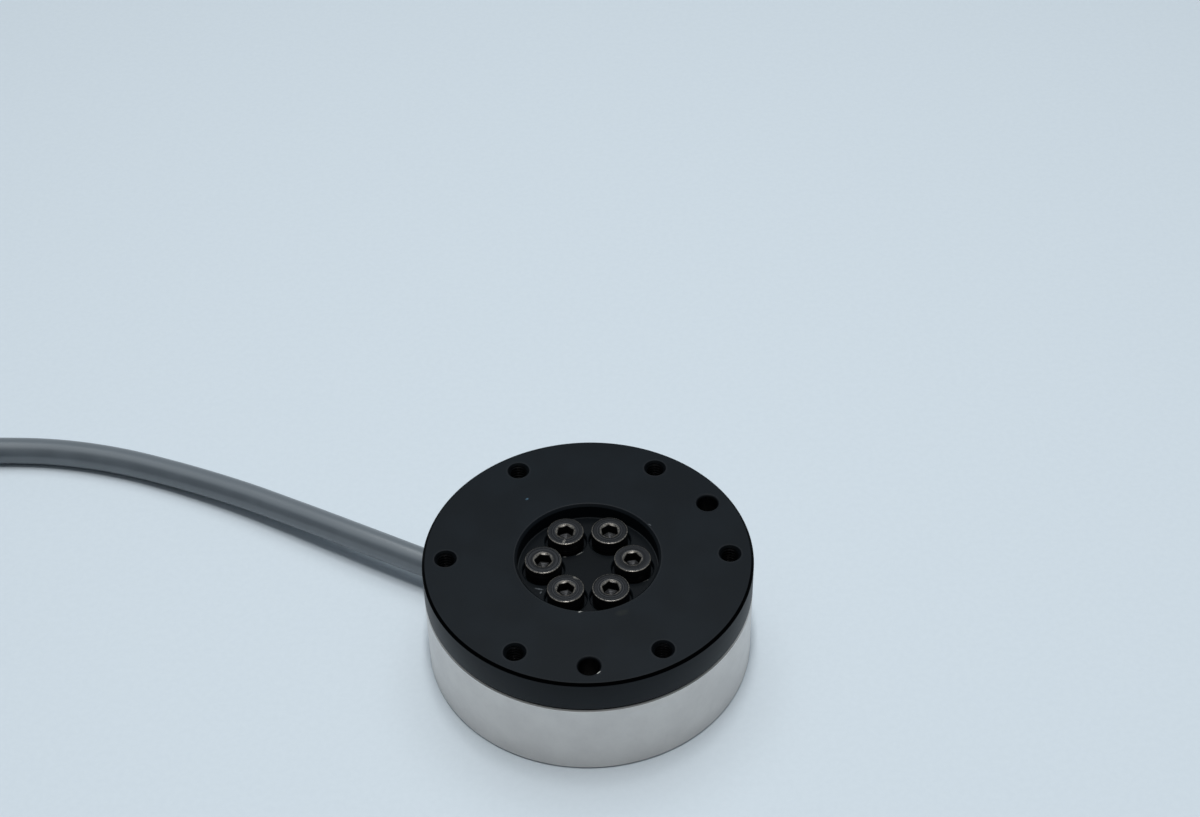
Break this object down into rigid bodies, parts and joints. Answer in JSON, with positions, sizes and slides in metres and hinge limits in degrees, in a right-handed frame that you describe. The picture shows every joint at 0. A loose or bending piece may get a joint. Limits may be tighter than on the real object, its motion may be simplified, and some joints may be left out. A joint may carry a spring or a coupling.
{
  "type": "force torque sensor",
  "caption": "disc-shaped six-axis force torque sensor: black tool flange on a satin steel body, with a coiled signal cable and connector",
  "frame": {"origin": "centre of the base face of the sensor", "axes": "Z is the sensing axis and points from the base face to the tool face; the cable leaves on the -X side; Y completes the right-handed frame"},
  "size_m": [0.2516, 0.117, 0.0243],
  "materials": {
    "anodised": "black anodised, fine turned",
    "socket_screws": "dark bronze steel with worn rims",
    "body_steel": "fine turned, satin",
    "gauge_foil": "amber polyimide foil",
    "lead_foil": "amber flexible printed lead",
    "seal_rubber": "matt black",
    "cover_anodised": "black anodised",
    "gasket_rubber": "matt black",
    "small_screws": "black oxide",
    "board_laminate": "green solder resist",
    "spacer_brass": "turned",
    "board_screw_steel": "bright zinc",
    "chip_black": "moulded epoxy",
    "chip_grey": "moulded epoxy",
    "chip_dark": "moulded epoxy",
    "regulator_black": "moulded epoxy",
    "capacitor_ceramic": "fired, with tinned ends",
    "socket_plastic": "natural nylon",
    "lead_plug_plastic": "natural nylon",
    "wire_insulation": "coloured insulation",
    "gland_nickel": "nickel plated",
    "ferrule_metal": "nickel plated",
    "relief_rubber": "matt dark grey",
    "cable_jacket": "satin bluish grey jacket",
    "cable_jacket_coil": "satin bluish grey jacket",
    "tie_plastic": "moulded nylon",
    "boot_rubber": "matt black",
    "plug_nickel": "nickel plated, satin",
    "nut_nickel": "nickel plated, ribbed",
    "insert_plastic": "moulded",
    "pin_gold": "gold plated",
    "oring_rubber": "matt black"
  },
  "bodies": {
    "root": {"tool_flange": "anodised", "flange_screws": "socket_screws", "sensing_body": "body_steel", "strain_gauges": "gauge_foil", "gauge_leads": "lead_foil", "dust_seal": "seal_rubber", "base_cover": "cover_anodised", "cover_gasket": "gasket_rubber", "cover_screws": "small_screws", "circuit_board": "board_laminate", "board_spacers": "spacer_brass", "board_screws": "board_screw_steel", "amplifier_chips": "chip_black", "converter_chip": "chip_grey", "processor_chip": "chip_dark", "voltage_regulator": "regulator_black", "capacitors": "capacitor_ceramic", "board_connector": "socket_plastic", "lead_plug": "lead_plug_plastic", "inner_leads": "wire_insulation", "gland_bush": "gland_nickel", "cable_ferrule": "ferrule_metal", "strain_relief": "relief_rubber", "cable": "cable_jacket", "cable_coil": "cable_jacket_coil", "coil_ties": "tie_plastic", "plug_boot": "boot_rubber", "plug_body": "plug_nickel", "plug_nut": "nut_nickel", "plug_insert": "insert_plastic", "plug_pins": "pin_gold", "plug_seal": "oring_rubber"}
  },
  "joints": []
}
